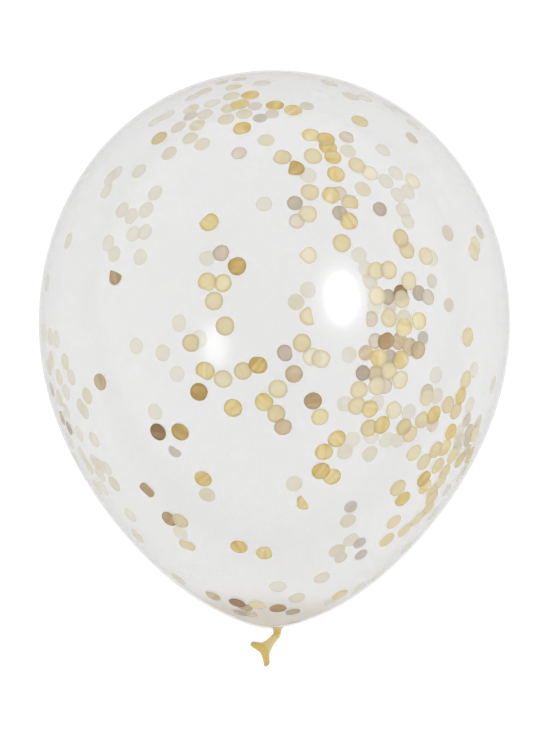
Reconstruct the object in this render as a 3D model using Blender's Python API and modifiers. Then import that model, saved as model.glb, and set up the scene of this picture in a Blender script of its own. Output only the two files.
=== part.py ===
"""Round confetti balloon of clear latex, lying on its side.

The bladder, its gathered neck, the knot and the fish tail are one latex moulding, so they
are one solid. The balloon is drawn upright, crown up, with the widest ring at height zero,
and is then laid down: its crown points along +Y and its tail along -Y. A small flat spot,
where soft film settles under its own weight, keeps it from rolling. The origin is the
centre of that flat spot.
"""

import math

import bpy
import bmesh
from mathutils import Matrix, Vector

# Bladder
BLADDER_WIDTH = 0.290          # across the widest ring
CROWN_HEIGHT = 0.156           # widest ring to the crown
LOWER_DEPTH = 0.1854           # widest ring to the film's lowest point
CROWN_SQUARENESS = 2.06        # exponent of the crown's curve: 2 is a plain ellipse
LOWER_TAPER = 0.23             # how far the lower half draws in below an ellipse
CROWN_BANDS = 17
LOWER_BANDS = 21
BLADDER_SIDES = 72

# Flat spot
FLAT_SPOT_WIDTH = 0.040        # across the balloon, and longer along it
CUTTER_DEPTH = 0.030

# Gathered neck between bladder and knot
NECK_ASIDE = 0.0023            # the neck gathers a little to the right of the axis
NECK_TOP_WIDTH = 0.0130        # where the folds leave the film
NECK_WAIST_WIDTH = 0.0036
NECK_LENGTH = 0.0031           # below the film's lowest point
NECK_OVERLAP = 0.0040          # how far it starts inside the bladder
NECK_SIDES = 28
NECK_BANDS = 8

# Overhand knot, drawn as a collar with one strand crossing over it
KNOT_STRAND = 0.0022           # thickness of the rolled film
KNOT_COLLAR_WIDTH = 0.0050
KNOT_CROSSING_WIDTH = 0.0047
KNOT_COLLAR_TILT = math.radians(14)
KNOT_CROSSING_TILT = math.radians(56)
KNOT_TURN = math.radians(35)   # the crossing strand faces front right
KNOT_SEGMENTS = 28
STRAND_SEGMENTS = 12

# Fish tail: a flattened tube that flares to the thick band round its mouth
TAIL_LENGTH = 0.0150           # knot to the middle of the band
TAIL_LEAN = math.radians(39)     # from straight down, towards the left
TAIL_ROOT_WIDTH = 0.0044
TAIL_ROOT_DEPTH = 0.0032
TAIL_MOUTH_WIDTH = 0.0142      # between the middles of the rolled edge
TAIL_MOUTH_DEPTH = 0.0030
TAIL_FLARE = 6.0               # exponent: how late the tube widens
TAIL_BANDS = 14
TAIL_SIDES = 36
MOUTH_BAND = 0.0037            # height of the thick band along the tail
MOUTH_ROLL = 0.0019            # its thickness
MOUTH_RECESS = 0.0020          # depth of the open mouth
MOUTH_WALL = 0.0008            # left round the recess
ROLL_START = math.radians(-70)   # where the band leaves the tube, 0 being its widest
ROLL_TURN = math.radians(250)    # from there over the outer edge and into the mouth
ROLL_BANDS = 9
FLUKE_SWEEP = 0.0035           # how far the flukes reach past the middle
FLUKE_SHARPNESS = 1.5          # exponent: 1 is a plain V, 2 a round bow
FLUKE_SKEW = 0.0017            # how far the lower fluke passes the upper one

# Finding how it lies
SLICES = 4000                  # for the centre of mass
SLOPE_STEP = 0.00001
SEARCHED_SHARE = 0.8           # of both halves, for the ring it lies on
HALVINGS = 60

# Finishes
FILM_COLOUR = (0.79, 0.79, 0.78, 1.0)
FILM_ALPHA = 0.35
FILM_ROUGHNESS = 0.08


def half_width(height):
    """The bladder's radius at a height measured from the widest ring."""
    radius = BLADDER_WIDTH / 2
    if height >= 0:
        share = min(height / CROWN_HEIGHT, 1)
        return radius * (1 - share ** CROWN_SQUARENESS) ** (1 / CROWN_SQUARENESS)
    share = min(-height / LOWER_DEPTH, 1)
    return radius * math.sqrt(1 - share ** 2) * (1 - LOWER_TAPER * share ** 2)


def bladder_profile():
    """Points (radius, height) from the crown to the lowest point, evenly turned."""
    points = []
    for i in range(CROWN_BANDS):
        height = CROWN_HEIGHT * math.cos(math.pi / 2 * i / CROWN_BANDS)
        points.append((half_width(height), height))
    for i in range(LOWER_BANDS + 1):
        height = -LOWER_DEPTH * math.sin(math.pi / 2 * i / LOWER_BANDS)
        points.append((half_width(height), height))
    points[0] = (0.0, CROWN_HEIGHT)
    points[-1] = (0.0, -LOWER_DEPTH)
    return points


def centre_of_mass():
    """Height of the filled bladder's centre of mass."""
    length = CROWN_HEIGHT + LOWER_DEPTH
    heights = [CROWN_HEIGHT - length * (i + 0.5) / SLICES for i in range(SLICES)]
    areas = [half_width(height) ** 2 for height in heights]
    return sum(a * h for a, h in zip(areas, heights)) / sum(areas)


def side_slope(height):
    """How fast the radius grows with height."""
    above = half_width(height + SLOPE_STEP)
    below = half_width(height - SLOPE_STEP)
    return (above - below) / (2 * SLOPE_STEP)


def resting_height():
    """Height of the ring that the balloon lies on.

    There the film's normal passes through the centre of mass. The normal at height h
    meets the axis at h + r * slope, so the height is found by halving the range.
    """
    centre = centre_of_mass()
    low, high = -SEARCHED_SHARE * LOWER_DEPTH, SEARCHED_SHARE * CROWN_HEIGHT
    for _ in range(HALVINGS):
        middle = (low + high) / 2
        if middle + half_width(middle) * side_slope(middle) > centre:
            high = middle
        else:
            low = middle
    return (low + high) / 2


def collection(name):
    made = bpy.data.collections.new(name)
    bpy.context.scene.collection.children.link(made)
    return made


def film_material():
    material = bpy.data.materials.new("clear_latex")
    material.use_nodes = True
    shader = material.node_tree.nodes["Principled BSDF"]
    shader.inputs["Base Color"].default_value = FILM_COLOUR
    shader.inputs["Roughness"].default_value = FILM_ROUGHNESS
    shader.inputs["Metallic"].default_value = 0.0
    shader.inputs["Alpha"].default_value = FILM_ALPHA
    return material


def add_object(name, mesh, home, frame):
    obj = bpy.data.objects.new(name, mesh)
    home.objects.link(obj)
    obj.parent = frame
    return obj


def hide_operand(obj):
    obj.hide_render = True
    obj.display_type = "WIRE"


def turned(name, profile, sides, home, frame):
    """A profile of (radius, height) points, listed top to bottom, turned about Z."""
    mesh = bpy.data.meshes.new(name)
    edges = [(i, i + 1) for i in range(len(profile) - 1)]
    mesh.from_pydata([(radius, 0, height) for radius, height in profile], edges, [])
    obj = add_object(name, mesh, home, frame)
    screw = obj.modifiers.new("Turned", "SCREW")
    screw.axis = "Z"
    screw.angle = math.tau
    screw.steps = sides
    screw.render_steps = sides
    screw.use_merge_vertices = True
    screw.merge_threshold = 0.00001
    screw.use_smooth_shade = True
    return obj


def lofted(name, rings, home, frame):
    """A closed skin over rings of equally many points, with a flat cap at both ends."""
    mesh = bpy.data.meshes.new(name)
    loft = bmesh.new()
    layers = [[loft.verts.new(point) for point in ring] for ring in rings]
    sides = len(rings[0])
    for upper, lower in zip(layers, layers[1:]):
        for i in range(sides):
            j = (i + 1) % sides
            loft.faces.new((upper[i], upper[j], lower[j], lower[i]))
    loft.faces.new(layers[0])
    loft.faces.new(layers[-1])
    bmesh.ops.recalc_face_normals(loft, faces=loft.faces)
    loft.to_mesh(mesh)
    loft.free()
    mesh.shade_smooth()
    return add_object(name, mesh, home, frame)


def knot_ring(name, width, place, tilt, turn, home, frame):
    """One turn of the knot: a torus round the neck, tipped by tilt."""
    bpy.ops.mesh.primitive_torus_add(
        major_radius=(width - KNOT_STRAND) / 2,
        minor_radius=KNOT_STRAND / 2,
        major_segments=KNOT_SEGMENTS,
        minor_segments=STRAND_SEGMENTS,
    )
    ring = bpy.context.object
    ring.name = name
    for user in list(ring.users_collection):
        user.objects.unlink(ring)
    home.objects.link(ring)
    ring.parent = frame
    ring.location = place
    ring.rotation_euler = (tilt, 0, turn)
    return ring


def neck_profile():
    """A concave flare from the film down to the waist, closed at both ends."""
    top = -LOWER_DEPTH + NECK_OVERLAP
    bottom = -LOWER_DEPTH - NECK_LENGTH - KNOT_STRAND / 2
    points = [(0.0, top)]
    for i in range(NECK_BANDS + 1):
        share = i / NECK_BANDS
        drawn_in = (1 - share) ** 2
        width = NECK_WAIST_WIDTH + (NECK_TOP_WIDTH - NECK_WAIST_WIDTH) * drawn_in
        points.append((width / 2, top + (bottom - top) * share))
    points.append((0.0, bottom))
    return points


def tail_section(reach):
    """Half width, half depth, reach and flare of the oval tube so far from the knot."""
    share = reach / TAIL_LENGTH
    flare = share ** TAIL_FLARE
    wide = (TAIL_ROOT_WIDTH + (TAIL_MOUTH_WIDTH - TAIL_ROOT_WIDTH) * flare) / 2
    deep = (TAIL_ROOT_DEPTH + (TAIL_MOUTH_DEPTH - TAIL_ROOT_DEPTH) * share) / 2
    return wide, deep, reach, flare


def tail_sections():
    """The tube, then the band rolled round its mouth, then the recess inside it."""
    tube_end = TAIL_LENGTH - MOUTH_BAND / 2
    sections = [tail_section(tube_end * i / TAIL_BANDS) for i in range(TAIL_BANDS + 1)]
    wide, deep, reach, flare = tail_section(TAIL_LENGTH)
    for i in range(ROLL_BANDS + 1):
        turn = ROLL_START + ROLL_TURN * i / ROLL_BANDS
        out = MOUTH_ROLL / 2 * math.cos(turn)
        height = MOUTH_BAND / 2 * math.sin(turn)
        sections.append((wide + out, deep + out, reach + height, flare))
    wide, deep, reach, flare = tail_section(TAIL_LENGTH - MOUTH_RECESS)
    sections.append((wide - MOUTH_WALL, deep - MOUTH_WALL, reach, flare))
    return sections


def tail_rings(root):
    """The tail's oval rings, each point given in the upright frame."""
    along = Vector((-math.sin(TAIL_LEAN), 0, -math.cos(TAIL_LEAN)))
    across = Vector((math.cos(TAIL_LEAN), 0, -math.sin(TAIL_LEAN)))
    front = Vector((0, -1, 0))
    rings = []
    for wide, deep, reach, flare in tail_sections():
        ring = []
        for j in range(TAIL_SIDES):
            turn = math.tau * j / TAIL_SIDES
            side = math.cos(turn)
            sweep = FLUKE_SWEEP * abs(side) ** FLUKE_SHARPNESS + FLUKE_SKEW * side
            place = root + along * (reach + flare * sweep) + across * wide * side
            ring.append(place + front * deep * math.sin(turn))
        rings.append(ring)
    return rings


def join(body, operand, operation):
    """Adds an exact Boolean of the operand to the body."""
    hide_operand(operand)
    boolean = body.modifiers.new(operand.name, "BOOLEAN")
    boolean.operation = operation
    boolean.solver = "EXACT"
    boolean.object = operand


def resting_cutter(home):
    """A block whose top face is the plane that the balloon lies on."""
    mesh = bpy.data.meshes.new("resting_cut")
    block = bmesh.new()
    bmesh.ops.create_cube(block, size=1)
    block.to_mesh(mesh)
    block.free()
    mesh.transform(Matrix.Diagonal((BLADDER_WIDTH, BLADDER_WIDTH, CUTTER_DEPTH, 1)))
    cutter = bpy.data.objects.new("resting_cut", mesh)
    home.objects.link(cutter)
    cutter.location = (0, 0, -CUTTER_DEPTH / 2)
    return cutter


def laid_down(home):
    """An empty that carries the upright balloon onto the floor, flat spot at the origin."""
    rest = resting_height()
    radius = half_width(rest)
    pitch = math.atan(side_slope(rest))
    across_radius = radius / math.cos(pitch)
    half_flat = FLAT_SPOT_WIDTH / 2
    sunk = across_radius - math.sqrt(across_radius ** 2 - half_flat ** 2)
    turn = Matrix.Rotation(-(math.pi / 2 - pitch), 4, "X")
    touching = turn @ Vector((0, radius, rest))
    empty = bpy.data.objects.new("laid_down", None)
    home.objects.link(empty)
    empty.rotation_euler = turn.to_euler()
    empty.location = -touching - Vector((0, 0, sunk))
    return empty


def main():
    for obj in list(bpy.data.objects):
        bpy.data.objects.remove(obj)
    parts = collection("confetti_balloon")
    operands = collection("operands")
    frame = laid_down(parts)

    balloon = turned("balloon", bladder_profile(), BLADDER_SIDES, parts, frame)
    balloon.data.materials.append(film_material())

    neck = turned("gathered_neck", neck_profile(), NECK_SIDES, operands, frame)
    neck.location = (NECK_ASIDE, 0, 0)
    knot = Vector((NECK_ASIDE, 0, -LOWER_DEPTH - NECK_LENGTH))
    collar = knot_ring(
        "knot_collar", KNOT_COLLAR_WIDTH, knot, KNOT_COLLAR_TILT, 0, operands, frame
    )
    crossing = knot_ring(
        "knot_crossing", KNOT_CROSSING_WIDTH, knot, KNOT_CROSSING_TILT, KNOT_TURN,
        operands, frame
    )
    tail = lofted("fish_tail", tail_rings(knot), operands, frame)

    for operand in (neck, collar, crossing, tail):
        join(balloon, operand, "UNION")
    join(balloon, resting_cutter(operands), "DIFFERENCE")


main()
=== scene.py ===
import math

import bpy
import numpy as np
from mathutils import Matrix


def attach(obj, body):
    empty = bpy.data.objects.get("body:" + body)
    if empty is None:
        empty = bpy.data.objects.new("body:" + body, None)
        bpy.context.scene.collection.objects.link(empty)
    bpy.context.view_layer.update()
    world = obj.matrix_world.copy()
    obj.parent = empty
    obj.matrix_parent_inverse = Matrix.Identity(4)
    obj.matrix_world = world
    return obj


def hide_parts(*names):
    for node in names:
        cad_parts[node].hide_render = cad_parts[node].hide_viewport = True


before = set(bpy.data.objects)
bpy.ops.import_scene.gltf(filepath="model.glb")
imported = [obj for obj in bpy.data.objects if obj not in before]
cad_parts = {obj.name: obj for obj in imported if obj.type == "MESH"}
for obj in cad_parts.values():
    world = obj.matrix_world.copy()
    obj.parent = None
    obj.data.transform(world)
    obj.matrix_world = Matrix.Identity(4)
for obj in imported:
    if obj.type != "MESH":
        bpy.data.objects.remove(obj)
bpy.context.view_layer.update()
rng = np.random.default_rng(12)

# The photograph: where the widest ring lies in it, in pixels of its 550 x 735 frame
photo = dict(
    wide=550,
    high=735,
    ringX=274.4,        # centre of the widest ring
    ringY=324.0,
    filmAcross=471.0,   # width of the film's outline
    lean=0.2,           # degrees that the crown leans left
)
cameraSetup = dict(
    distance=2.3,       # metres from the balloon's axis
    sensor=36.0,        # millimetres
    farClip=50,
)

# The bladder, upright: crown up, widest ring at height 0, metres. The CAD solid has the same sizes
bladder = dict(
    width=0.290,
    crown=0.156,        # widest ring to crown
    lower=0.1854,       # widest ring to the film's lowest point
    squareness=2.06,    # exponent of the crown's curve
    taper=0.23,         # how far the lower half draws in
    flatWidth=0.040,    # the spot it lies on
    wall=0.0010,        # from the clear outer face to the milky inner one
    dip=0.0024,         # how far the film is drawn down round the neck
    dipAside=-0.004,    # the middle of that, and its spread
    dipReach=0.013,
    rows=170,
    turns=192,
    poleShare=0.99999,  # part of the height up to which the slope is worked out
)
# How much of the unstretched latex's look the film has, and where
thicker = dict(
    neck=0.66,
    spot=(-0.005, -0.006, -0.1844),     # the middle of the thicker film by the neck
    reach=0.060,        # how far that reaches, and over which length it fades
    fade=0.030,
    crown=0.12,
    crownStart=0.78,    # share of the crown's height where it begins, and over which it grows
    crownGrowth=0.24,
    low=0.10,           # in the lower third
    lowStart=0.30,
    lowGrowth=0.75,
)


def filmRadius(height):
    # Crown: a superellipse. Lower half: an ellipse drawn in by the square of the depth
    up = np.clip(height / bladder["crown"], 0, 1)
    down = np.clip(-height / bladder["lower"], 0, 1)
    power = bladder["squareness"]
    crownShape = (1 - up ** power) ** (1 / power)
    lowerShape = np.sqrt(1 - down ** 2) * (1 - bladder["taper"] * down ** 2)
    return bladder["width"] / 2 * np.where(height >= 0, crownShape, lowerShape)


def filmSlope(height, step=1e-5):
    # Radius gained for each metre up
    return (filmRadius(height + step) - filmRadius(height - step)) / (2 * step)


def lyingPose():
    # It lies on the ring where the film's normal passes through the centre of mass
    steps, searched = 8001, 0.8         # heights that are tried, and the share of the length that has them
    whole = np.linspace(-bladder["lower"], bladder["crown"], steps)
    areas = filmRadius(whole) ** 2
    centre = (areas * whole).sum() / areas.sum()
    heights = np.linspace(-searched * bladder["lower"], searched * bladder["crown"], steps)
    crossings = heights + filmRadius(heights) * filmSlope(heights)
    ring = np.interp(centre, crossings, heights)
    radius, pitch = filmRadius(ring), math.atan(filmSlope(ring))
    across = radius / math.cos(pitch)
    sunk = across - math.sqrt(across ** 2 - (bladder["flatWidth"] / 2) ** 2)
    shift = (
        -(radius * math.sin(pitch) + ring * math.cos(pitch)),
        radius * math.cos(pitch) - ring * math.sin(pitch) - sunk,
    )
    return pitch, shift


pitch, shift = lyingPose()
print("lies at a pitch of", round(math.degrees(pitch), 2), "degrees")


def turned(vectors):
    # Upright directions turned as the balloon lies: crown along +Y, front up
    x, y, z = np.moveaxis(np.asarray(vectors, float), -1, 0)
    return np.stack(
        [x, y * math.sin(pitch) + z * math.cos(pitch), z * math.sin(pitch) - y * math.cos(pitch)], -1
    )


def laid(points):
    return turned(points) + np.array([0, shift[0], shift[1]])


def unit(vectors):
    return vectors / np.linalg.norm(vectors, axis=-1, keepdims=True)


def setAttribute(mesh, name, values):
    # One number for each vertex, which the materials read
    layer = mesh.attributes.new(name, "FLOAT", "POINT")
    layer.data.foreach_set("value", np.asarray(values, np.float32).ravel())


def addObject(name, data):
    made = bpy.data.objects.new(name, data)
    bpy.context.scene.collection.objects.link(made)
    return made


def addPiece(name, vertices, faces, materials, smooth=True):
    mesh = bpy.data.meshes.new(name)
    mesh.from_pydata(np.asarray(vertices).tolist(), [], faces)
    for material in materials:
        mesh.materials.append(material)
    if smooth:
        mesh.shade_smooth()
    mesh.update()
    return addObject(name, mesh)


def gridFaces(rows, turns, poles=(False, False), first=0, flip=False):
    # Faces of a grid closed round each row. A pole row is one vertex and gives a fan
    starts = first + np.concatenate([[0], np.cumsum([1 if poles[0] else turns] + [turns] * (rows - 2))])
    across = np.arange(turns)
    beyond = (across + 1) % turns
    faces = []
    for row in range(rows - 1):
        upper, lower = starts[row], starts[row + 1]
        if row == 0 and poles[0]:
            band = np.stack([np.full(turns, upper), lower + beyond, lower + across], 1)
        elif row == rows - 2 and poles[1]:
            band = np.stack([upper + across, upper + beyond, np.full(turns, lower)], 1)
        else:
            band = np.stack([upper + across, upper + beyond, lower + beyond, lower + across], 1)
        faces += (band[:, ::-1] if flip else band).tolist()
    return faces


def gridPoints(grid, poles=(False, False)):
    # The grid's points in one list, with one point for a pole's row
    flat = [row[:1] if (i == 0 and poles[0]) or (i == len(grid) - 1 and poles[1]) else row
            for i, row in enumerate(grid)]
    return np.concatenate(flat)


# Materials: one short function for each kind of node, then the finishes


def nodeWith(tree, kind, inputs=None, **settings):
    # A node whose inputs are linked where a socket is given, and set where a plain value is
    made = tree.nodes.new(kind)
    for name, value in settings.items():
        setattr(made, name, value)
    for name, value in (inputs or {}).items():
        socket = made.inputs[name]
        if isinstance(value, bpy.types.NodeSocket):
            tree.links.new(value, socket)
        else:
            socket.default_value = (*value, 1) if socket.type == "RGBA" else value
    return made


def newMaterial(name):
    material = bpy.data.materials.new(name)
    material.use_nodes = True
    material.node_tree.nodes.clear()
    return material, material.node_tree


def showShader(tree, shader):
    nodeWith(tree, "ShaderNodeOutputMaterial", {"Surface": shader.outputs[0]})


def attributeOf(tree, name):
    return nodeWith(tree, "ShaderNodeAttribute", attribute_name=name).outputs["Fac"]


def objectPlace(tree):
    return nodeWith(tree, "ShaderNodeTexCoord").outputs["Object"]


def noiseOn(tree, source, scale, detail=3.0):
    inputs = {"Vector": source, "Scale": scale, "Detail": detail}
    return nodeWith(tree, "ShaderNodeTexNoise", inputs).outputs["Fac"]


def rangeOf(tree, value, low, high, fromLow=0.0, fromHigh=1.0):
    inputs = {"Value": value, "From Min": fromLow, "From Max": fromHigh, "To Min": low, "To Max": high}
    return nodeWith(tree, "ShaderNodeMapRange", inputs).outputs["Result"]


def powered(tree, value, power):
    return nodeWith(tree, "ShaderNodeMath", {0: value, 1: power}, operation="POWER").outputs[0]


def added(tree, first, second):
    return nodeWith(tree, "ShaderNodeMath", {0: first, 1: second}, use_clamp=True).outputs[0]


def mixValues(tree, factor, first, second):
    return nodeWith(tree, "ShaderNodeMix", {0: factor, 2: first, 3: second}).outputs[0]


def mixShaders(tree, share, first, second):
    return nodeWith(tree, "ShaderNodeMixShader", {0: share, 1: first.outputs[0], 2: second.outputs[0]})


def mixColours(tree, factor, first, second, way="MIX"):
    inputs = {0: factor, 6: first, 7: second}
    return nodeWith(tree, "ShaderNodeMix", inputs, data_type="RGBA", blend_type=way).outputs[2]


def bumpOn(tree, shader, height, strength, distance):
    bump = nodeWith(tree, "ShaderNodeBump", {"Height": height, "Strength": strength, "Distance": distance})
    tree.links.new(bump.outputs["Normal"], shader.inputs["Normal"])


film = dict(
    gloss=0.045,        # share that the outer face reflects straight on
    innerGloss=0.095,   # and the inner one
    glossRim=0.12,      # and both along the rim
    glossPower=5.0,     # how closely that keeps to the rim
    shine=(0.97, 0.97, 0.96),
    roughness=0.28,
    innerRoughness=0.17,
    colour=(0.66, 0.662, 0.665),
    thickColour=(0.58, 0.485, 0.335),   # unstretched latex by the neck
    front=0.30,         # part of the scattered light that comes back rather than goes on
    outerHaze=(0.02, 0.44),             # share scattered by the outer face, straight on and at the rim
    innerHaze=(0.27, 0.27),
    rimPower=4.0,       # how closely the rim's share keeps to the rim
    outerThick=0.20,    # the same shares where the latex is unstretched
    innerThick=0.46,
    thickGloss=0.01,
    cloudScale=9.0,     # soft clouds over the film, and what they add to the share and the roughness
    cloudDetail=4.0,
    cloudHaze=0.03,
    cloudRoughness=0.15,
)


def filmMaterial(name, haze, thickShare, glossShare, rough):
    # Clear, with part of the light scattered through and back, more at the rim and by the neck,
    # and a reflection that rises with a power of the facing
    material, tree = newMaterial(name)
    thick = attributeOf(tree, "thickness")
    cloud = noiseOn(tree, objectPlace(tree), film["cloudScale"], film["cloudDetail"])
    facing = nodeWith(tree, "ShaderNodeLayerWeight", {"Blend": 0.5}).outputs["Facing"]
    rim = rangeOf(tree, powered(tree, facing, film["rimPower"]), *haze)
    drift = rangeOf(tree, cloud, -film["cloudHaze"], film["cloudHaze"])
    share = mixValues(tree, thick, added(tree, rim, drift), thickShare)
    colour = mixColours(tree, thick, film["colour"], film["thickColour"])
    through = nodeWith(tree, "ShaderNodeBsdfTranslucent", {"Color": colour})
    back = nodeWith(tree, "ShaderNodeBsdfDiffuse", {"Color": colour})
    clear = nodeWith(tree, "ShaderNodeBsdfTransparent")
    body = mixShaders(tree, share, clear, mixShaders(tree, film["front"], through, back))
    spread = film["cloudRoughness"]
    roughness = rangeOf(tree, cloud, rough * (1 - spread), rough * (1 + spread))
    mirror = {"Base Color": film["shine"], "Metallic": 1.0, "Roughness": roughness}
    shine = nodeWith(tree, "ShaderNodeBsdfPrincipled", mirror)
    gloss = rangeOf(tree, powered(tree, facing, film["glossPower"]), glossShare, film["glossRim"])
    gloss = mixValues(tree, thick, gloss, film["thickGloss"])
    showShader(tree, mixShaders(tree, gloss, body, shine))
    return material


amber = dict(
    thin=(0.735, 0.605, 0.29),   # the stretched web
    thick=(0.67, 0.495, 0.135),  # the band, the knot and the folds
    shadedTip=(0.50, 0.43, 0.20),      # painted shade: the band darker and greyer at its two tips, where it doubles back
    shadedTipSpan=(1.15, 1.8),         # thickness at which the painted tip shade starts, and is full
    roughness=0.42,
    roughnessDrift=0.08,
    cloudScale=420.0,            # clouds a few millimetres across
    cloudDetail=4.0,
    cloudDrift=0.25,
    grainScale=2600.0,
    grainStrength=0.25,
    grainHeight=0.0001,
    subsurface=0.35,
    subsurfaceReach=(0.003, 0.002, 0.001),
)


def amberLatexMaterial():
    # Colour goes with the thickness, shifted by clouds, and light spreads a little inside
    material, tree = newMaterial("amberLatex")
    depth = attributeOf(tree, "thickness")
    place = objectPlace(tree)
    cloud = noiseOn(tree, place, amber["cloudScale"], amber["cloudDetail"])
    shifted = rangeOf(tree, cloud, -amber["cloudDrift"], amber["cloudDrift"])
    colour = mixColours(tree, added(tree, depth, shifted), amber["thin"], amber["thick"])
    # Painted shade: where the thickness passes one, at the band's two tips, the colour turns darker and
    # greyer
    tipShadeShare = rangeOf(tree, depth, 0.0, 1.0, *amber["shadedTipSpan"])
    rough, spread = amber["roughness"], amber["roughnessDrift"]
    shader = nodeWith(tree, "ShaderNodeBsdfPrincipled", {
        "Base Color": mixColours(tree, tipShadeShare, colour, amber["shadedTip"]),
        "Roughness": rangeOf(tree, cloud, rough - spread, rough + spread),
        "Subsurface Weight": amber["subsurface"],
        "Subsurface Radius": amber["subsurfaceReach"],
        "Subsurface Scale": 1.0,
    })
    grain = noiseOn(tree, place, amber["grainScale"])
    bumpOn(tree, shader, grain, amber["grainStrength"], amber["grainHeight"])
    showShader(tree, shader)
    return material


# Foil tissues of the confetti: each runs through three colours from disc to disc. "size" is the
# share of the full width that its discs have, "drift" and "mottle" the strength of streaks and spots
foils = dict(
    gold=dict(
        slot="gold_foil", size=1.0, drift=0.22, mottle=0.5,
        dark=(0.67, 0.465, 0.12), middle=(0.90, 0.75, 0.31), light=(1.0, 0.97, 0.77),
    ),
    champagne=dict(
        slot="champagne_foil", size=1.0, drift=0.12, mottle=0.35,
        dark=(0.84, 0.732, 0.43), middle=(0.94, 0.871, 0.645), light=(1.0, 0.978, 0.885),
    ),
    bronze=dict(
        slot="bronze_foil", size=0.96, drift=0.20, mottle=0.7,
        dark=(0.42, 0.26, 0.08), middle=(0.64, 0.47, 0.23), light=(0.84, 0.74, 0.54),
    ),
    pewter=dict(
        slot="pewter_foil", size=0.85, drift=0.12, mottle=0.45,
        dark=(0.50, 0.42, 0.33), middle=(0.74, 0.66, 0.55), light=(0.96, 0.91, 0.80),
    ),
)
foilLook = dict(
    metallic=0.12,
    roughness=0.45,
    warm=(1.0, 0.93, 0.88),           # the spots run between these two tints
    green=(0.95, 0.965, 0.93),
    rimShadeColour=(0.83, 0.80, 0.70),    # painted shade: the rim of a disc is darker by this, so that its middle looks lit
    rimShadeStart=0.62,                   # share of the radius where the painted rim shade begins
    stretch=(0.6, 2.6, 1.0),          # the streaks run along the disc
    streakScale=1.2,                  # scales on the disc's own UV, which is 1 across
    mottleScale=5.0,
    spotScale=2.6,
    softDetail=2.0,
    noiseSpan=(0.3, 0.7),             # the part of a noise's range that is used
    spotSpan=(0.35, 0.65),
    roughnessDrift=0.08,
    grainStrength=0.2,
    grainHeight=0.0001,
)


def foilMaterial(tone):
    # Streaks along the disc's own UV shift its tone, and part of the light behind comes through
    facts = foils[tone]
    material, tree = newMaterial(tone + "Foil")
    face = nodeWith(tree, "ShaderNodeUVMap", uv_map="discFace").outputs["UV"]
    mapping = nodeWith(tree, "ShaderNodeMapping", {"Vector": face, "Scale": foilLook["stretch"]})
    detail = foilLook["softDetail"]
    streaks = noiseOn(tree, mapping.outputs["Vector"], foilLook["streakScale"], detail)
    mottle = noiseOn(tree, face, foilLook["mottleScale"])
    spots = noiseOn(tree, face, foilLook["spotScale"], detail)
    drift = rangeOf(tree, streaks, -facts["drift"], facts["drift"], *foilLook["noiseSpan"])
    total = added(tree, attributeOf(tree, "tone"), drift)
    lower = mixColours(tree, rangeOf(tree, total, 0.0, 1.0, 0.0, 0.5), facts["dark"], facts["middle"])
    colour = mixColours(tree, rangeOf(tree, total, 0.0, 1.0, 0.5, 1.0), lower, facts["light"])
    spotShare = rangeOf(tree, spots, 0.0, 1.0, *foilLook["spotSpan"])
    tint = mixColours(tree, spotShare, foilLook["warm"], foilLook["green"])
    colour = mixColours(tree, facts["mottle"], colour, tint, "MULTIPLY")
    # Painted shade: the colour darkens towards each disc's rim, so that its middle looks lit
    paintedRimShade = rangeOf(tree, attributeOf(tree, "edge"), 0.0, 1.0, foilLook["rimShadeStart"], 1.0)
    colour = mixColours(tree, paintedRimShade, colour, foilLook["rimShadeColour"], "MULTIPLY")
    rough, spread = foilLook["roughness"], foilLook["roughnessDrift"]
    shader = nodeWith(tree, "ShaderNodeBsdfPrincipled", {
        "Base Color": colour,
        "Roughness": rangeOf(tree, mottle, rough - spread, rough + spread, *foilLook["noiseSpan"]),
        "Metallic": foilLook["metallic"],
    })
    bumpOn(tree, shader, mottle, foilLook["grainStrength"], foilLook["grainHeight"])
    through = nodeWith(tree, "ShaderNodeBsdfTranslucent", {"Color": colour})
    showShader(tree, mixShaders(tree, attributeOf(tree, "sheer"), shader, through))
    return material


# Neck, knot and tail: the CAD's forms, a little longer in the neck and shorter in the tail
neck = dict(
    aside=0.0024,
    topWidth=0.0056,
    waistWidth=0.0038,
    ease=1.6,           # how early it narrows
    start=0.0018,       # how far below the film's bottom point it leaves the film, which is drawn down
    length=0.0059,      # from the film's bottom point to the knot
    fillet=0.0012,      # how much wider it starts, inside the film's wall
    filletFall=9,       # and how fast that is gone
    pleats=9,
    pleatDepth=0.14,
    pleatTwist=3,       # radians from the film to the knot
    pleatWave=0.9,      # part of a half wave that their depth follows on the way
    thickStart=0.2,     # thickness of the latex's look at the film, its growth, and what a pleat takes
    thickGrowth=1.4,
    thickPleat=0.4,
    rows=26,
    turns=96,
)
knot = dict(
    strand=0.0018,
    collarWidth=0.0046,
    windings=1.35,
    turnedBy=2.2,       # radians to where the strand starts
    tuck=0.14,          # share of the strand that is tucked in at each end, and the curve of that
    tuckCurve=0.6,
    tuckedReach=0.35,   # how far out the ends lie, and how thick they are, as shares
    tuckedStrand=0.75,
    rise=0.0009,        # of the strand's start above the neck's end
    drop=0.0016,        # from start to end
    sway=0.0004,
    rows=90,
    turns=18,
)
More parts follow.
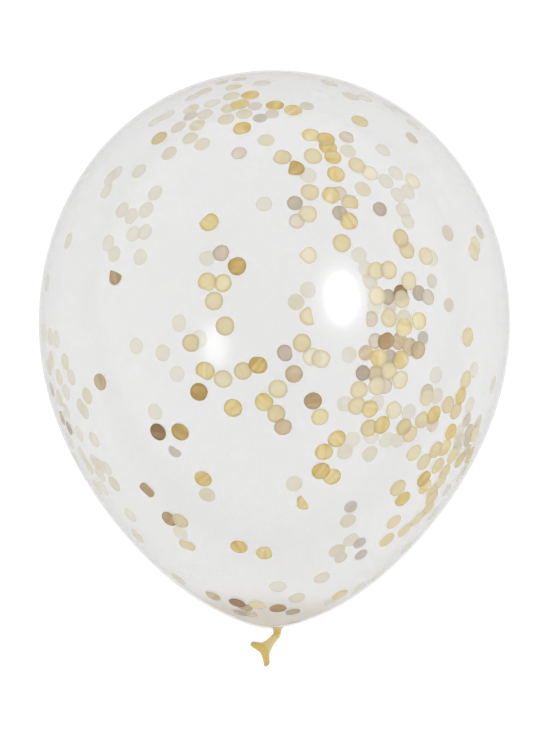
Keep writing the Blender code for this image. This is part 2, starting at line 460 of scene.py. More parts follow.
tail = dict(
    length=0.0129,      # knot to the middle of the band
    lean=40.0,          # degrees from straight down
    rootWidth=0.0044,
    rootDepth=0.0032,
    mouthWidth=0.0144,
    mouthDepth=0.0030,
    flare=3.5,          # how late the tube widens
    band=0.0051,        # height of the thick band round the mouth
    bandTaper=0.26,     # how much lower it is at the two tips
    bandUneven=0.4,     # and how much more so at the upper one
    bandPower=3,        # how close to the tips that is
    roll=0.0026,        # thickness of the band
    rollFrom=-75,       # degrees round the band, from its outer foot to the inner face
    rollTo=180,
    lip=0.0004,         # how far in from the band's middle the inner face starts
    recess=0.0060,      # and how far in it ends
    slit=0.0002,        # least half depth of the opening
    sweep=0.0033,       # how far the two tips stand forward
    sharpness=1.5,
    skew=0.0018,        # how much further the lower one does
    aside=-0.0004,      # how far the mouth stands off the tube's line
    creases=7,
    creaseDepth=0.07,
    creaseReach=0.006,
    webThickness=0.15,  # the stretched web's part in the latex's look
    rootReach=0.0012,   # how far the knot's full thickness reaches into it
    shadedTipPower=4,
    turns=96,
)


def neckWithFolds():
    # Profile: a cone from the film to the knot that eases into both. Pleats: a cosine round the
    # turn that fades towards the film and twists on the way down
    share = np.linspace(0, 1, neck["rows"])[:, None]
    angle = np.linspace(0, math.tau, neck["turns"], endpoint=False)[None, :]
    eased = (1 - share) ** neck["ease"]
    radius = (neck["waistWidth"] + (neck["topWidth"] - neck["waistWidth"]) * eased) / 2
    radius = radius + neck["fillet"] * np.exp(-share * neck["filletFall"])
    pleat = np.cos(neck["pleats"] * angle + neck["pleatTwist"] * share)
    radius = radius * (1 + neck["pleatDepth"] * np.sin(share * math.pi * neck["pleatWave"]) * pleat)
    height = -bladder["lower"] - neck["start"] - (neck["length"] - neck["start"]) * share
    grid = np.stack(
        np.broadcast_arrays(neck["aside"] + radius * np.cos(angle), radius * np.sin(angle), height), -1
    )
    thickness = neck["thickStart"] + neck["thickGrowth"] * share - neck["thickPleat"] * pleat
    return grid, np.clip(thickness, 0, 1)


def knotStrand():
    # A round strand wound round the neck, its ends tucked in: a helix whose radius closes at
    # both ends, and a circle carried along it
    share = np.linspace(0, 1, knot["rows"])
    tuck = np.clip(np.minimum(share, 1 - share) / knot["tuck"], 0, 1) ** knot["tuckCurve"]
    angle = math.tau * knot["windings"] * share + knot["turnedBy"]
    core = (knot["collarWidth"] - knot["strand"]) / 2
    reach = core * (knot["tuckedReach"] + (1 - knot["tuckedReach"]) * tuck)
    start = -bladder["lower"] - neck["length"] + knot["rise"]
    height = start - knot["drop"] * share + knot["sway"] * np.sin(angle)
    path = np.stack([neck["aside"] + reach * np.cos(angle), reach * np.sin(angle), height], -1)
    strand = knot["strand"] / 2 * (knot["tuckedStrand"] + (1 - knot["tuckedStrand"]) * tuck)
    return carried(path, strand, knot["turns"])


def carried(path, radius, turns):
    # A circle carried along a path, squared to the path's own direction
    along = unit(np.gradient(path, axis=0))
    side = unit(np.cross(along, [0.0, 0.0, 1.0]))
    over = np.cross(side, along)
    angle = np.linspace(0, math.tau, turns, endpoint=False)
    ring = np.cos(angle)[None, :, None] * side[:, None] + np.sin(angle)[None, :, None] * over[:, None]
    return path[:, None] + ring * np.broadcast_to(radius, len(path))[:, None, None]


def tailSection(reach):
    # Half width and half depth of the oval tube, and its flare, at a distance from the knot
    share = reach / tail["length"]
    flare = share ** tail["flare"]
    wide = (tail["rootWidth"] + (tail["mouthWidth"] - tail["rootWidth"]) * flare) / 2
    deep = (tail["rootDepth"] + (tail["mouthDepth"] - tail["rootDepth"]) * share) / 2
    return wide, deep, flare


def fishTail():
    # Oval rings along the tube, then round the band's half circle over the mouth, then back down
    # inside to the recess. Towards its two tips the mouth sweeps forward by a power of the side
    tubeRows, bandRows, insideRows = 44, 30, 20
    outside = np.linspace(0, tail["length"] - tail["band"] / 2, tubeRows)
    rolled = np.radians(np.linspace(tail["rollFrom"], tail["rollTo"], bandRows))
    inside = np.linspace(tail["length"] - tail["lip"], tail["length"] - tail["recess"], insideRows)
    wideOut, deepOut, flareOut = tailSection(outside)
    wideEnd, deepEnd, flareEnd = tailSection(tail["length"])
    out = tail["roll"] / 2 * np.cos(rolled)
    wideIn, deepIn, flareIn = tailSection(inside)
    ones = np.ones(len(rolled))
    inward = tail["roll"] / 2
    wide = np.concatenate([wideOut, wideEnd + out, wideIn - inward])
    deep = np.concatenate([deepOut, deepEnd + out, np.maximum(deepIn - inward, tail["slit"])])
    reach = np.concatenate([outside, tail["length"] * ones, inside])
    band = np.concatenate([0 * outside, tail["band"] / 2 * np.sin(rolled), 0 * inside])
    flare = np.concatenate([flareOut, flareEnd * ones, flareIn])
    angle = np.linspace(0, math.tau, tail["turns"], endpoint=False)
    side = np.cos(angle)[None, :]
    sweep = tail["sweep"] * np.abs(side) ** tail["sharpness"] + tail["skew"] * side
    uneven = 1 - tail["bandUneven"] * side
    taper = 1 - tail["bandTaper"] * np.abs(side) ** tail["bandPower"] * uneven
    swept = reach[:, None] + band[:, None] * taper + flare[:, None] * sweep
    lean = math.radians(tail["lean"])
    along = np.array([-math.sin(lean), 0, -math.cos(lean)])
    across = np.array([math.cos(lean), 0, -math.sin(lean)])
    root = np.array([neck["aside"], 0, -bladder["lower"] - neck["length"]])
    fading = tail["creaseDepth"] * np.exp(-reach / tail["creaseReach"])
    creases = 1 + fading[:, None] * np.cos(tail["creases"] * angle)[None, :]
    offset = (wide[:, None] * side * creases + flare[:, None] * tail["aside"])[..., None] * across
    depth = (deep[:, None] * np.sin(angle)[None, :] * creases)[..., None] * np.array([0, -1.0, 0])
    grid = root + swept[..., None] * along + offset + depth
    bandShare = np.concatenate([np.zeros(len(outside)), ones, ones[:1].repeat(len(inside))])
    full = np.maximum(bandShare, np.exp(-reach / tail["rootReach"]))
    thickness = tail["webThickness"] + (1 - tail["webThickness"]) * full
    # The band's two tips go past a thickness of one, which carries the painted tip shade
    thickness = thickness[:, None] + bandShare[:, None] * np.abs(side) ** tail["shadedTipPower"]
    return grid, thickness


def addAmberPiece(name, grid, thickness, material):
    # The grid's rings, and one face across each end
    vertices = gridPoints(laid(grid))
    rows, turns = grid.shape[:2]
    faces = gridFaces(rows, turns)
    faces.append(list(range(turns))[::-1])
    faces.append([len(vertices) - turns + i for i in range(turns)])
    piece = addPiece(name, vertices, faces, [material])
    setAttribute(piece.data, "thickness", gridPoints(thickness[..., None]))
    facesOut(piece)
    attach(piece, "root")
    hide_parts("balloon")


def facesOut(piece):
    # Turns a closed piece's faces outwards: its volume has to come out positive
    mesh = piece.data
    mesh.calc_loop_triangles()
    corners = np.empty(len(mesh.loop_triangles) * 3, int)
    mesh.loop_triangles.foreach_get("vertices", corners)
    points = np.empty(len(mesh.vertices) * 3)
    mesh.vertices.foreach_get("co", points)
    a, b, c = np.moveaxis(points.reshape(-1, 3)[corners.reshape(-1, 3)], 1, 0)
    if (a * np.cross(b, c)).sum() < 0:
        mesh.flip_normals()


# Bladder


def bladderGrid(inset):
    # Rows run from crown to neck, evenly turned, inset along the film's normal. Round the neck a
    # bell curve of the distance draws the film down
    turn = np.linspace(0, math.pi, bladder["rows"])
    height = np.where(
        turn <= math.pi / 2, bladder["crown"] * np.cos(turn), bladder["lower"] * np.cos(turn)
    )
    angle = np.linspace(0, math.tau, bladder["turns"], endpoint=False)
    radius = filmRadius(height)
    radius[[0, -1]] = 0.0
    share = bladder["poleShare"]
    slope = filmSlope(np.clip(height, -share * bladder["lower"], share * bladder["crown"]))
    tilt = 1 / np.sqrt(1 + slope ** 2)
    inRadius = np.maximum(radius - inset * tilt, 0)
    inHeight = height + inset * slope * tilt
    inRadius[[0, -1]] = 0.0
    inHeight[[0, -1]] = bladder["crown"] - inset, -bladder["lower"] + inset
    grid = np.stack(
        np.broadcast_arrays(
            inRadius[:, None] * np.cos(angle), inRadius[:, None] * np.sin(angle), inHeight[:, None]
        ),
        -1,
    )
    across = (grid[..., 0] - bladder["dipAside"]) ** 2 + grid[..., 1] ** 2
    drawn = bladder["dip"] * np.exp(-across / (2 * bladder["dipReach"] ** 2))
    grid[..., 2] -= np.where(height[:, None] < 0, drawn, 0)
    return grid


def softened(share):
    # A share from 0 to 1 that starts and ends without a corner: three squares less two cubes
    share = np.clip(share, 0, 1)
    return share * share * (3 - 2 * share)


def thickNear(grid):
    # Film is less stretched close to the neck, and a little so round the crown and in the lower
    # third: a share of the distance from the spot, and two of the height
    away = np.linalg.norm(grid - np.array(thicker["spot"]), axis=-1)
    near = softened((thicker["reach"] - away) / thicker["fade"])
    up, down = grid[..., 2] / bladder["crown"], -grid[..., 2] / bladder["lower"]
    crown = softened((up - thicker["crownStart"]) / thicker["crownGrowth"])
    low = softened((down - thicker["lowStart"]) / thicker["lowGrowth"])
    rest = thicker["crown"] * crown + thicker["low"] * low
    return thicker["neck"] * near + (1 - near) * rest


def addBladder():
    # Two faces a wall apart, the inner one turned round, both flattened where they meet the floor
    outer, inner = bladderGrid(0.0), bladderGrid(bladder["wall"])
    poles = (True, True)
    outerLaid, innerLaid = laid(outer), laid(inner)
    outerLaid[..., 2] = np.maximum(outerLaid[..., 2], 0.0)
    innerLaid[..., 2] = np.maximum(innerLaid[..., 2], bladder["wall"])
    vertices = np.concatenate([gridPoints(outerLaid, poles), gridPoints(innerLaid, poles)])
    half = len(vertices) // 2
    rows, turns = outer.shape[:2]
    outerFaces = gridFaces(rows, turns, poles)
    innerFaces = gridFaces(rows, turns, poles, first=half, flip=True)
    outerLook = filmMaterial(
        "clearFilm", film["outerHaze"], film["outerThick"], film["gloss"], film["roughness"]
    )
    innerLook = filmMaterial(
        "milkyFilm", film["innerHaze"], film["innerThick"], film["innerGloss"], film["innerRoughness"]
    )
    piece = addPiece("bladder", vertices, outerFaces + innerFaces, [outerLook, innerLook])
    slots = [0] * len(outerFaces) + [1] * len(innerFaces)
    piece.data.polygons.foreach_set("material_index", slots)
    thick = np.concatenate([gridPoints(thickNear(g)[..., None], poles) for g in (outer, inner)])
    setAttribute(piece.data, "thickness", thick)
    facesOut(piece)
    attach(piece, "root")
    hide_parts("balloon")


# Camera


def photoLens():
    # The film's outline has a half angle of asin(radius / distance), which fixes the lens
    radius, distance = bladder["width"] / 2, cameraSetup["distance"]
    edge = radius / math.sqrt(distance ** 2 - radius ** 2)
    return cameraSetup["sensor"] * (photo["filmAcross"] / 2 / photo["wide"]) / edge


def photoPixels():
    # Pixels for a slope of one
    return photoLens() / cameraSetup["sensor"] * photo["wide"]


def photoSlopes(pixels):
    # How far a pixel's ray runs right and up for each metre away, with the lean taken out
    pixels = np.asarray(pixels, float)
    across = (pixels[..., 0] - photo["wide"] / 2) / photoPixels()
    above = (photo["high"] / 2 - pixels[..., 1]) / photoPixels()
    lean = math.radians(photo["lean"])
    return (
        across * math.cos(lean) - above * math.sin(lean),
        above * math.cos(lean) + across * math.sin(lean),
    )


def cameraAim():
    # Right and up from the widest ring's centre to where the camera looks
    right, up = photoSlopes([photo["ringX"], photo["ringY"]])
    return -right * cameraSetup["distance"], -up * cameraSetup["distance"]


def matrixOf(x, y, z, place):
    # An object's own x, y and z directions, and its place
    matrix = np.eye(4)
    matrix[:3, 0], matrix[:3, 1], matrix[:3, 2], matrix[:3, 3] = x, y, z, place
    return Matrix(matrix.tolist())


def addCamera():
    aimRight, aimUp = cameraAim()
    place = laid([aimRight, -cameraSetup["distance"], aimUp])
    lean = math.radians(photo["lean"])
    right = turned([math.cos(lean), 0, math.sin(lean)])
    up = turned([-math.sin(lean), 0, math.cos(lean)])
    back = turned([0.0, -1.0, 0.0])
    camera = bpy.data.cameras.new("photoCamera")
    camera.sensor_width = cameraSetup["sensor"]
    camera.sensor_fit = "HORIZONTAL"
    camera.lens = photoLens()
    camera.clip_end = cameraSetup["farClip"]
    holder = addObject("photoCamera", camera)
    holder.matrix_world = matrixOf(right, up, back, place)
    bpy.context.scene.camera = holder


# Confetti: round tissue discs between the film's two faces
confetti = dict(
    across=0.0110,
    thickness=0.00010,
    follow=0.140,       # the discs lie bent to the wall with this radius
    bow=0.00005,        # how far a disc's edges stand off it
    bowTurn=6,          # radians that the bow may be turned by
    tilt=0.7,           # degrees
    tiltSpread=0.6,     # how widely the discs' own tilts vary, in parts of that
    segments=18,
    floorGap=0.00011,   # least height above the floor
    shallow=0.00022,    # depths in the wall, from the first layer to the last
    deep=0.00078,
    layers=4,
    ragged=0.022,       # how far an outline strays from round
    sizeShare=0.8,      # how much of that goes into the size, and into a wave with three crests
    threeShare=0.6,
    nicked=0.35,        # share of the discs that have one slightly straight side
    nick=(0.86, 0.96),  # how far that side is from the middle, as a share of the radius
    patch=40,           # how far apart on the foil's pattern two discs may be cut
    farRimShade=0.78,       # discs away from the front get less of the painted shade at their rims
    sideSheer=0.22,     # and the near ones let more light through towards the sides
    nearSheer=(0.25, 0.45),     # share of light that comes through, near discs and far ones
    farSheer=(0.75, 0.90),
)

# Places of the discs in the photograph's pixels. A third item lists straight cuts or folds, each
# as a direction in degrees, counted from the right over the top, and a share of the radius
nearDiscs = dict(
    brass=[(199, 392), (180, 432)],
    goldDeep=[(237, 266), (295, 168, ((165, 0.64), (265, 0.9))), (258, 365, ((85, 0.86),))],
    goldBright=[
        (275, 105), (239, 547), (403, 499), (324, 452), (337, 439), (321, 471), (382, 425),
        (424, 479), (203, 479),
    ],
    gold=[
        (333, 157), (434, 415), (250, 95), (293, 110), (242, 128), (326, 139), (336, 174),
        (349, 221), (209, 222, ((135, 0.78),)), (370, 409), (328, 147), (205, 371, ((240, 0.8),)),
        (461, 396), (265, 553, ((10, 0.7),)), (264, 402), (451, 432), (305, 502, ((35, 0.1),)),
        (233, 408),
    ],
    lemon=[
        (404, 328), (379, 358), (207, 282, ((250, 0.85),)), (320, 417), (332, 477), (419, 321),
        (331, 195), (401, 360), (311, 135), (240, 104), (425, 487), (445, 448), (223, 283),
    ],
    straw=[
        (282, 157, ((160, 0.85),)), (313, 156), (357, 165), (350, 203, ((265, 0.6),)), (310, 192),
        (308, 214), (401, 238), (407, 250), (389, 270), (409, 281), (389, 318), (389, 371),
        (357, 406), (422, 420), (404, 427), (410, 434), (456, 411), (448, 405), (436, 450),
        (453, 456), (424, 462), (438, 466), (441, 481), (433, 491), (432, 498), (428, 509),
        (418, 519), (387, 540), (394, 522), (180, 521), (223, 379), (278, 389), (276, 414),
        (302, 343), (369, 428), (225, 326), (340, 595), (191, 343), (360, 121), (159, 138),
        (187, 545, ((70, 0.6), (250, 0.75))), (398, 488), (359, 390), (445, 472), (376.5, 270.5),
        (342, 243), (214, 301), (243, 371), (309, 316, ((15, 0.35), (130, 0.9))),
        (470, 455), (460, 460),
    ],
    pale=[
        (257, 605), (308, 255, ((135, 0.72), (225, 0.75))), (414, 453), (321, 359), (377, 296),
        (402, 299), (394, 410), (427, 397), (377, 386), (468, 337), (466, 380), (405, 530),
        (474, 252), (476, 245), (426, 256), (475, 434),
    ],
    palest=[(312, 357), (370, 173), (413, 181), (400, 380)],
    bronzeDark=[(237, 603), (158, 432), (401, 293.5)],
    bronzeMid=[
        (386, 341), (278, 608.5), (115, 276, ((70, 0.45), (180, 0.85))),
        (147, 490, ((35, 0.7), (215, 0.7))), (169, 519), (313, 401),
    ],
    bronze=[
        (100, 382), (399, 341), (410, 347), (418, 350), (213, 596), (294, 374), (283, 427),
        (376, 374),
    ],
    smoke=[(363, 373)],
    pewterDark=[
        (340, 213), (390, 357), (419, 293), (285, 353), (293, 612), (295, 622.5), (295, 203),
        (388, 297), (69, 428), (380, 209), (245, 607.5),
    ],
    pewter=[
        (297, 221), (371, 319, ((180, 0.6),)), (375.5, 341), (339, 193), (427, 392), (480, 232),
        (412, 138), (385, 386), (433, 425), (469, 431), (428, 297), (467, 420), (221, 253),
        (468, 440), (467, 451), (62, 418), (239, 153), (347, 137),
    ],
)
farDiscs = dict(
    goldDeep=[(366, 353)],
    gold=[
        (233, 87), (231, 96), (191, 109), (65, 362), (59, 377), (51, 359), (59, 398), (197, 125),
        (363, 189),
    ],
    straw=[
        (448, 233), (351, 96), (204, 91), (229, 108), (226, 119), (244, 114), (205, 114),
        (202, 144), (190, 138), (169, 153), (178, 127), (348, 151), (330, 83), (87, 396),
        (266, 140), (207, 495), (114, 484), (49, 368), (296, 302), (322, 578), (351, 540),
        (337, 551), (294, 484), (404, 318), (437, 396), (476, 428), (459, 432), (457, 450),
        (178, 579), (137, 536), (345, 452), (370, 454), (348, 521), (370, 281), (297, 598),
        (478, 423), (458, 441), (76, 460), (466, 467), (50, 337),
    ],
    pale=[
        (167, 115), (155, 121), (212, 103), (308, 175), (139, 171), (110, 178), (155, 193),
        (116, 173), (106, 191), (122, 210), (131, 216), (146, 210), (133, 234), (145, 232),
        (108, 243), (114, 254), (140, 257), (207, 258), (179, 323), (199, 339), (136, 346),
        (163, 353), (177, 374), (81, 407), (84, 411), (155, 412), (44, 333), (68, 241),
        (71, 377), (66, 392), (79, 434), (94, 440), (95, 462), (106, 468), (100, 475), (103, 488),
        (97, 487), (82, 455), (180, 533), (130, 515), (383, 150), (386, 181), (100, 466),
        (396, 173), (398, 195), (408, 192), (403, 210), (408, 221), (365, 98), (390, 107),
        (414, 125), (359, 255), (308, 290), (349, 355), (436, 375), (474, 370), (345, 404),
        (377, 403), (409, 412), (352, 440), (387, 440), (398, 440), (264, 204), (278, 587),
        (406, 548), (377, 577), (359, 588), (493, 385), (434, 513), (470, 405), (47, 283),
        (432, 258), (332, 601), (375, 305), (262, 83), (372, 436), (402, 112), (192, 97),
        (463, 440), (366, 269), (56, 339), (66, 411), (70, 441), (89, 467), (461, 474), (477, 440),
    ],
    pewterDark=[
        (260, 118), (351, 507), (360, 543), (361, 555), (52, 390), (175, 451, ((55, 0.45),)),
        (240, 613), (423, 338),
    ],
    pewter=[
        (255, 106), (272, 114), (307, 106), (221, 82), (341, 558), (238, 79), (432, 281),
        (449, 305), (447, 490), (250, 614), (390, 307), (190, 116),
    ],
)
# Foil of each list, and the part of the foil's range that its near discs and its far ones have
# The far ranges are lighter than the near ones of the same list: painted light, for the paler look of the far
# discs through the film
toneRanges = dict(
    brass=("gold", (0.0, 0.04)),
    goldDeep=("gold", (0.24, 0.38), (0.45, 0.50)),
    goldBright=("gold", (0.44, 0.58)),
    gold=("gold", (0.55, 0.69), (0.88, 1.0)),
    lemon=("gold", (0.70, 0.80)),
    straw=("champagne", (0.25, 0.50), (0.55, 0.80)),
    pale=("champagne", (0.48, 0.70), (0.90, 1.0)),
    palest=("champagne", (0.72, 0.85)),
    bronzeDark=("bronze", (0.08, 0.20)),
    bronzeMid=("bronze", (0.52, 0.66)),
    bronze=("bronze", (0.90, 1.0)),
    smoke=("pewter", (0.16, 0.26)),
    pewterDark=("pewter", (0.40, 0.55), (0.40, 0.60)),
    pewter=("pewter", (0.68, 0.90), (0.90, 1.0)),
)


def onWall(pixels, walls, depths):
    # Follows each pixel's ray through the bladder and finds where it meets the near (-1) or far
    # (+1) wall, at a depth inside the outer face
    reachBack, steps = 0.15, 3001       # metres either side of the axis
    right, up = photoSlopes(pixels)
    aimRight, aimUp = cameraAim()
    y = np.linspace(-reachBack, reachBack, steps)[None, :]
    away = y + cameraSetup["distance"]
    x = aimRight + right[:, None] * away
    z = aimUp + up[:, None] * away
    gap = np.hypot(x, y) - (filmRadius(z) - depths[:, None])
    inside = gap < 0
    hit = np.where(walls < 0, inside.argmax(1), inside.shape[1] - 1 - inside[:, ::-1].argmax(1))
    hit = np.where(inside.any(1), hit, gap.argmin(1))
    rows = np.arange(len(pixels))
    place = np.stack([x[rows, hit], y[0, hit], z[rows, hit]], -1)
    # Keep the height and the turn, and set the radius exactly
    reach = filmRadius(place[:, 2]) - depths / np.cos(np.arctan(filmSlope(place[:, 2])))
    place[:, :2] *= (reach / np.hypot(place[:, 0], place[:, 1]))[:, None]
    return place


def wallNormal(places):
    # Straight out from the axis, tipped up or down by the film's slope
    normal = unit(places * np.array([1.0, 1.0, 0.0]))
    normal[:, 2] = -filmSlope(places[:, 2])
    return unit(normal)


def discLayers(places):
    # Discs that overlap lie in different layers of the wall
    spacing = np.linalg.norm(places[:, None] - places[None, :], axis=-1)
    layers = []
    for i in range(len(places)):
        close = [layers[j] for j in np.flatnonzero(spacing[i, :i] < confetti["across"])]
        free = [layer for layer in range(confetti["layers"]) if layer not in close]
        layers.append(free[0] if free else min(range(confetti["layers"]), key=close.count))
    return np.array(layers)


def discOutlines(cuts):
    # Distance from a disc's centre to its edge: round, with two slight waves, and cut off where
    # a straight cut or fold comes nearer
    angle = np.linspace(0, math.tau, confetti["segments"], endpoint=False)[None, :]
    count = len(cuts)
    clear, least = 9, 0.01      # a cut this far out never bites, and the least cosine divided by
    waves = rng.uniform(0, math.tau, (count, 3))
    sizes = rng.normal(0, confetti["ragged"], (count, 3))
    edge = 1 + sizes[:, :1] * confetti["sizeShare"]
    edge = edge + sizes[:, 1:2] * np.cos(2 * angle + waves[:, :1])
    edge = edge + confetti["threeShare"] * sizes[:, 2:] * np.cos(3 * angle + waves[:, 1:2])
    nicked = rng.uniform(0, 1, (count, 1)) < confetti["nicked"]
    nick = np.where(nicked, rng.uniform(*confetti["nick"], (count, 1)), clear)
    edge = np.minimum(edge, nick / np.maximum(np.cos(angle - waves[:, 2:]), least))
    for place in range(2):
        turn = np.radians([cut[place][0] if len(cut) > place else 0 for cut in cuts])[:, None]
        share = np.array([cut[place][1] if len(cut) > place else clear for cut in cuts])[:, None]
        edge = np.minimum(edge, share / np.maximum(np.cos(angle - turn), least))
    return edge * confetti["across"] / 2


def addConfetti(tone, places, tones, sheers, cuts, material):
    # A closed disc is two fans of triangles and a rim. It follows the wall and bows in a saddle
    count, segments = len(places), confetti["segments"]
    normal = wallNormal(places)
    normal += math.tan(math.radians(confetti["tilt"])) * rng.normal(0, confetti["tiltSpread"], (count, 3))
    normal = unit(normal)
    level = unit(np.cross([0.0, 0.0, 1.0], normal))
    rise = np.cross(normal, level)
    farSide = np.where(places[:, 1] > 0, -1.0, 1.0)[:, None]
    angle = np.linspace(0, math.tau, segments, endpoint=False)
    edge = discOutlines(cuts) * foils[tone]["size"]
    u, v = edge * np.cos(angle), edge * np.sin(angle)
    bow = confetti["bow"] * rng.normal(0, 1, (count, 1))
    bow = bow * np.cos(2 * angle + rng.uniform(0, confetti["bowTurn"], (count, 1)))
    middle = np.zeros((count, 1))
    across = np.concatenate([middle, u * farSide], 1)
    upward = np.concatenate([middle, v], 1)
    lift = np.concatenate([middle, bow - edge ** 2 / (2 * confetti["follow"])], 1)
    flat = places[:, None] + across[..., None] * level[:, None] + upward[..., None] * rise[:, None]
    half = confetti["thickness"] / 2
    sides = [flat + (lift + way * half)[..., None] * normal[:, None] for way in (1, -1)]
    points = laid(np.concatenate(sides, 1))
    points[..., 2] = np.maximum(points[..., 2], confetti["floorGap"])
    size = 2 * (segments + 1)
    one = np.arange(segments)
    two = (one + 1) % segments
    top, topNext = 1 + one, 1 + two
    under, underNext = top + segments + 1, topNext + segments + 1
    fans = [
        np.stack([np.zeros(segments, int), top, topNext], 1),
        np.stack([np.full(segments, segments + 1), underNext, under], 1),
    ]
    rim = np.stack([top, under, underNext, topNext], 1)
    starts = (np.arange(count) * size)[:, None, None]
    faces = (starts + np.concatenate(fans)).reshape(-1, 3).tolist() + (starts + rim).reshape(-1, 4).tolist()
    piece = addPiece("confetti_" + tone, points.reshape(-1, 3), faces, [material], smooth=False)
    facesOut(piece)
    setAttribute(piece.data, "tone", np.repeat(tones, size))
    setAttribute(piece.data, "sheer", np.repeat(sheers, size))
    # Painted shade at each disc's rim: full on the front wall, weaker towards the back
    front = np.clip(-places[:, 1] / (bladder["width"] / 2), 0, 1)
    strength = confetti["farRimShade"] + (1 - confetti["farRimShade"]) * front ** 2
    rimShadeShare = np.tile(np.arange(segments + 1) > 0, (count, 2)) * strength[:, None]
    setAttribute(piece.data, "edge", rimShadeShare.ravel())
    uv = piece.data.uv_layers.new(name="discFace")
    corners = np.empty(len(piece.data.loops), int)
    piece.data.loops.foreach_get("vertex_index", corners)
    spin = rng.uniform(0, math.tau, (count, 1))
    face = np.stack(
        [across * np.cos(spin) - upward * np.sin(spin), across * np.sin(spin) + upward * np.cos(spin)], -1
    )
    face = np.concatenate([face, face], 1) / confetti["across"]
    face = face + rng.uniform(0, confetti["patch"], (count, 1, 2))
    uv.data.foreach_set("uv", face.reshape(-1, 2)[corners].astype(np.float32).ravel())
    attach(piece, "root")


def scatterConfetti():
    # Every disc's wall, layer, tone and share of light through, then one piece for each foil
    entries = [
        (group, wall, item)
        for wall, lists in ((-1, nearDiscs), (1, farDiscs))
        for group, items in lists.items()
        for item in items
    ]
    pixels = np.array([item[:2] for _, _, item in entries], float)
    walls = np.array([wall for _, wall, _ in entries])
    cuts = [item[2] if len(item) > 2 else () for _, _, item in entries]
    rough = onWall(pixels, walls, np.full(len(pixels), confetti["shallow"]))
    step = (confetti["deep"] - confetti["shallow"]) / (confetti["layers"] - 1)
    depths = confetti["shallow"] + step * discLayers(rough)
    places = onWall(pixels, walls, depths)
    tones = np.array([rng.uniform(*toneRanges[group][1 if wall < 0 else 2]) for group, wall, _ in entries])
    sheers = np.array([rng.uniform(*confetti["nearSheer" if wall < 0 else "farSheer"]) for wall in walls])
    round = np.clip(1 + places[:, 1] / (bladder["width"] / 2), 0, 1)
    sheers += np.where(walls < 0, confetti["sideSheer"] * round, 0.0)
    kinds = np.array([toneRanges[group][0] for group, _, _ in entries])
    for tone in foils:
        chosen = np.flatnonzero(kinds == tone)
        addConfetti(
            tone, places[chosen], tones[chosen], sheers[chosen], [cuts[i] for i in chosen], foilMaterial(tone)
        )
        print("confetti", tone, len(chosen))


# Stage and light
stage = dict(
    floorSide=12.0,
    floorDrop=0.0004,           # how far the floor is below the balloon
    floorColour=(0.12, 0.12, 0.12),
    floorRoughness=0.9,
    floorGloss=0.1,
    floorGlow=0.94,             # of the lit table under the balloon
    floorFarGlow=0.58,
    glowReach=(0.30, 1.20),     # metres from the middle over which it fades
    skyHigh=(0.84, 0.845, 0.85),
    skyLow=(1.00, 1.005, 1.01),     # near the horizon
    skySpan=0.8,                # sine of the height at which the upper colour is reached
    highlight=(339.5, 297.5),   # middle of the photograph's highlight, in its pixels
    boxDistance=1.6,
    boxWidth=14.7,              # degrees across, as seen from the balloon
    boxHeight=17.3,
    boxRadiance=6.4935,
)


def addFloor():
    # Pale, and glowing as a lit table does, less so further out
    material, tree = newMaterial("paleFloor")
    distance = nodeWith(tree, "ShaderNodeVectorMath", {0: objectPlace(tree)}, operation="LENGTH")
    near, far = stage["floorGlow"], stage["floorFarGlow"]
    showShader(tree, nodeWith(tree, "ShaderNodeBsdfPrincipled", {
        "Base Color": stage["floorColour"],
        "Roughness": stage["floorRoughness"],
        "Specular IOR Level": stage["floorGloss"],
        "Emission Color": (1, 1, 1),
        "Emission Strength": rangeOf(tree, distance.outputs["Value"], near, far, *stage["glowReach"]),
    }))
    half, height = stage["floorSide"] / 2, -stage["floorDrop"]
    corners = [(-half, -half, height), (half, -half, height), (half, half, height), (-half, half, height)]
    floor = addPiece("floor", corners, [(0, 1, 2, 3)], [material], smooth=False)


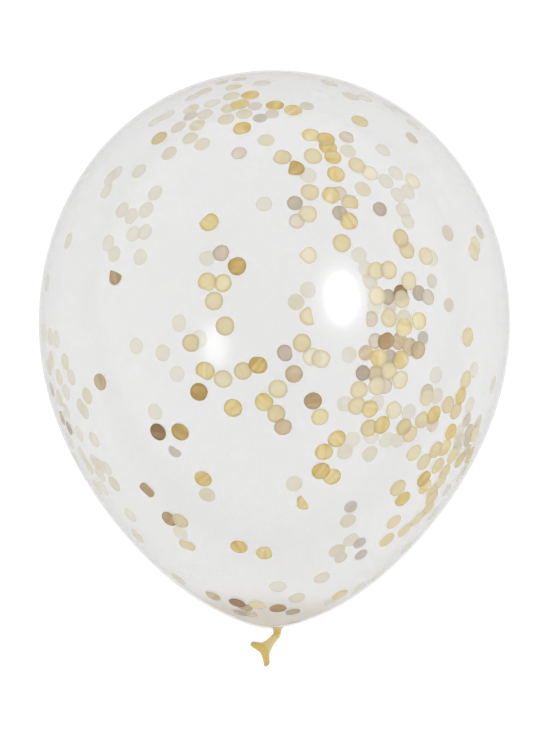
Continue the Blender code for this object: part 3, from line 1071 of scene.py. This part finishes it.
def addSky():
    world = bpy.data.worlds.new("studio")
    world.use_nodes = True
    tree = world.node_tree
    way = nodeWith(tree, "ShaderNodeTexCoord").outputs["Generated"]
    parts = nodeWith(tree, "ShaderNodeSeparateXYZ", {0: way})
    height = rangeOf(tree, parts.outputs["Z"], 0.0, 1.0, 0.0, stage["skySpan"])
    sky = mixColours(tree, height, stage["skyLow"], stage["skyHigh"])
    tree.links.new(sky, tree.nodes["Background"].inputs["Color"])
    bpy.context.scene.world = world


def addSoftbox():
    # Its power is its radiance times pi times the area of the ellipse
    direction = boxWay()
    distance = stage["boxDistance"]
    lamp = bpy.data.lights.new("softbox", "AREA")
    lamp.shape = "ELLIPSE"
    lamp.size = 2 * distance * math.tan(math.radians(stage["boxWidth"] / 2))
    lamp.size_y = 2 * distance * math.tan(math.radians(stage["boxHeight"] / 2))
    area = math.pi / 4 * lamp.size * lamp.size_y
    lamp.energy = stage["boxRadiance"] * math.pi * area
    holder = addObject("softbox", lamp)
    side = unit(np.cross(turned([0.0, 0.0, 1.0]), direction))
    centre = laid([0.0, 0.0, 0.0]) + direction * distance
    holder.matrix_world = matrixOf(side, np.cross(direction, side), direction, centre)


def boxWay():
    # The direction that the near wall mirrors towards the camera at the photograph's highlight
    pixel = np.array([stage["highlight"]], float)
    normal = wallNormal(onWall(pixel, np.array([-1]), np.zeros(1)))[0]
    right, up = photoSlopes(pixel[0])
    view = -unit(np.array([right, 1.0, up]))
    return turned(2 * (normal @ view) * normal - view)


def setLook():
    # A ray may cross many discs and faces of the film
    clearBounces, bounces = 32, 16
    scene = bpy.context.scene
    scene.view_settings.view_transform = "Standard"
    scene.view_settings.look = "None"
    scene.cycles.transparent_max_bounces = clearBounces
    scene.cycles.max_bounces = bounces
    scene.cycles.use_denoising = True


addCamera()
addFloor()
addSky()
addSoftbox()
setLook()
print("camera and light are up")
addBladder()
print("bladder is made")
latex = amberLatexMaterial()
addAmberPiece("gathered_neck", *neckWithFolds(), latex)
strand = knotStrand()
addAmberPiece("knot", strand, np.ones(strand.shape[:2]), latex)
addAmberPiece("fish_tail", *fishTail(), latex)
print("neck, knot and tail are made")
scatterConfetti()
